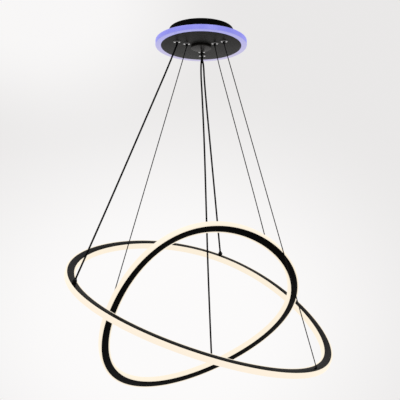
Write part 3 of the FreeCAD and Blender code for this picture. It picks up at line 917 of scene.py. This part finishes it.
def screw_head(at, steps=64):
    """Height over polar coordinates r and t: a dome that falls with the square of r, less the depth of two
    crossing slots. A slot is where the smaller of |x| and |y| is under its half width, up to its reach."""
    t = np.linspace(0, 2 * math.pi, steps, endpoint=False)[:, None]
    r = np.concatenate([np.linspace(0, 0.97, 22), [1.0, 1.0]])[None, :] * SCREW_HEAD_R
    x, y = r * np.cos(t), r * np.sin(t)
    dome = SCREW_HEAD_H - SCREW_DOME * (r / SCREW_HEAD_R) ** 2
    arm = np.minimum(np.abs(x), np.abs(y))
    slot = np.clip((SLOT_HALF - arm) / SLOT_SLOPE, 0, 1) * np.clip((SLOT_REACH - r) / SLOT_END, 0, 1)
    z = dome - SLOT_DEPTH * slot
    z[:, -1] = 0.0
    return grid_surface("head", np.stack([x, y, -z], -1) + np.asarray(at), (True, False))


# %% Place grips and screws
heads = []
for ring in (LARGE, SMALL):
    for place in ring["hang"]:
        node = f"{ring['name']}_grip_{place}"
        piece = grip(ring, place, HANGERS[ring["name"], place])
        piece.data.materials.append(grip_steel)
        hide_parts(node)
        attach(piece, "canopy")
        for side in (-1, 1):
            aside = np.array([side * SCREW_SPACING / 2, 0, 0])
            heads.append(screw_head(exit_point(ring, place, GRIP_Z) + aside))

screws = joined("grip_screws_dressed", heads)
screws.data.materials.append(nickel)
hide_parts("grip_screws")
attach(screws, "canopy")
print("screw heads:", len(heads), "faces:", len(screws.data.polygons))

# %% [markdown]
# ## Inner pieces
#
# Bracket, stud, nuts, drivers and strips are out of sight once the lamp hangs. Drawing them again would add
# nothing for the eye, so they keep their modelled shapes, and each gets its own finish.

# %% Finishes of the inner pieces
INNER = {"ceiling_bracket": zinc, "centre_stud": zinc, "stud_nuts": zinc, "grip_nuts": zinc,
         "earth_screw": brass, "driver_large_ring": case_white, "driver_small_ring": case_white,
         "terminal_block": nylon, "mounting_pads": foam, "halo_led_strip": strip_finish}
for size in ("large", "small"):
    for side in ("outer", "inner"):
        INNER[f"{size}_ring_{side}_strip"] = strip_finish
for node, material in INNER.items():
    frame["nodes"][node].data.materials.clear()
    frame["nodes"][node].data.materials.append(material)
print("inner pieces:", len(INNER))

# %% [markdown]
# ## Room and light
#
# The wall behind the lamp is plain and pale, a little lighter low in the middle and in the upper left corner.
# A backdrop in that colour would need strong light of its own, which would wash out the lamp. Instead the
# world shows the wall to the camera and to reflections, and lights the lamp more softly. A pale floor lies
# far below and fades out towards its edge. Two large soft lamps give the coats a direction.

# %% Floor
FLOOR_Z, FLOOR_STEPS, FLOOR_FADE = -4.8, 96, (5.2, 8.4)
floor_r = np.array([0.0, 1.5, 3.0, 5.0, 7.0])[None, :]
floor_t = np.linspace(0, 2 * math.pi, FLOOR_STEPS, endpoint=False)[:, None]
floor_z = np.full((FLOOR_STEPS, floor_r.size), FLOOR_Z)
floor = grid_surface("floor", np.stack([floor_r * np.cos(floor_t), floor_r * np.sin(floor_t), floor_z], -1),
                     (True, False))

stone = Finish("pale_floor")
stone.surface(Base_Color=(0.70, 0.695, 0.69), Roughness=0.9, Specular_IOR_Level=0.1,
              Emission_Color=stone.mix(stone.seen(), (0, 0, 0), (0.42, 0.415, 0.41)), Emission_Strength=1.0,
              Alpha=1 - stone.length(stone.place()).ramp(*FLOOR_FADE))
floor.data.materials.append(stone.material)
print("floor at", FLOOR_Z)

# %% Two lighter places on the wall
LOW_GLOW = ((165, 325), (330, 250), 0.82)      # centre and half axes in pixels, gain
CORNER_GLOW = ((40, 0), (190, 140), 0.66)
FULL_INSIDE = 0.25

world = bpy.data.worlds.new("pale_room")
bpy.context.scene.world = world
world.use_nodes = True
room = Pattern(world.node_tree)
direction = room.add("TexCoord", output="Generated")


def glow(pixel, spread, gain):
    """Extra light on the wall in the direction of an image pixel: full inside a quarter of an ellipse with
    these half axes, and nothing outside it. The distance is |(direction - centre) / half axes|."""
    x, y = pixel
    centre = forward * FOCAL_PIXELS + right * (x - IMAGE_PIXELS / 2) + up * (IMAGE_PIXELS / 2 - y)
    away = room.add("VectorMath", {"operation": "SUBTRACT"}, {0: direction, 1: centre.normalized()})
    scaled = room.add("VectorMath", {"operation": "MULTIPLY"},
                      {0: away, 1: (FOCAL_PIXELS / spread[0], 0.0, FOCAL_PIXELS / spread[1])})
    return gain * (1 - room.length(scaled).ramp(FULL_INSIDE, 1.0))


# %% The pale wall
WALL_COLOUR, WALL_LIT = (0.820, 0.808, 0.804), (1.0, 0.99, 0.99)
LIGHT_ON_LAMP = 0.55        # the world's strength where it lights the lamp; what is seen of it has 1

background = world.node_tree.nodes["Background"]
glows = glow(*LOW_GLOW) + glow(*CORNER_GLOW)
room.feed(background.inputs["Color"], room.mix(glows, WALL_COLOUR, WALL_LIT))
room.feed(background.inputs["Strength"], LIGHT_ON_LAMP + (1 - LIGHT_ON_LAMP) * room.seen())
print("nodes of the room:", len(room.tree.nodes))

# %% Lamps
LIT_PLACE = (0, 0, -0.6)


def soft_lamp(name, at, size, power):
    """Round area lamp that looks at the middle of the object; size is its diameter in metres."""
    data = bpy.data.lights.new(name, "AREA")
    data.shape, data.size, data.energy = "DISK", size, power
    lamp = bpy.data.objects.new(name, data)
    lamp.location = at
    lamp.rotation_euler = (Vector(LIT_PLACE) - Vector(at)).to_track_quat("-Z", "Y").to_euler()
    bpy.context.scene.collection.objects.link(lamp)


soft_lamp("above", (-0.6, -0.8, 2.4), 2.2, 60)
soft_lamp("front", (1.8, -3.0, 0.9), 1.6, 22)
print("lamps:", len(bpy.data.lights))

# %% [markdown]
# ## The view transform
#
# The Standard view transform shows a colour as it is written; a filmic one would turn the pale acrylic grey.

# %% Colours are shown as they are written
bpy.context.scene.view_settings.view_transform = "Standard"
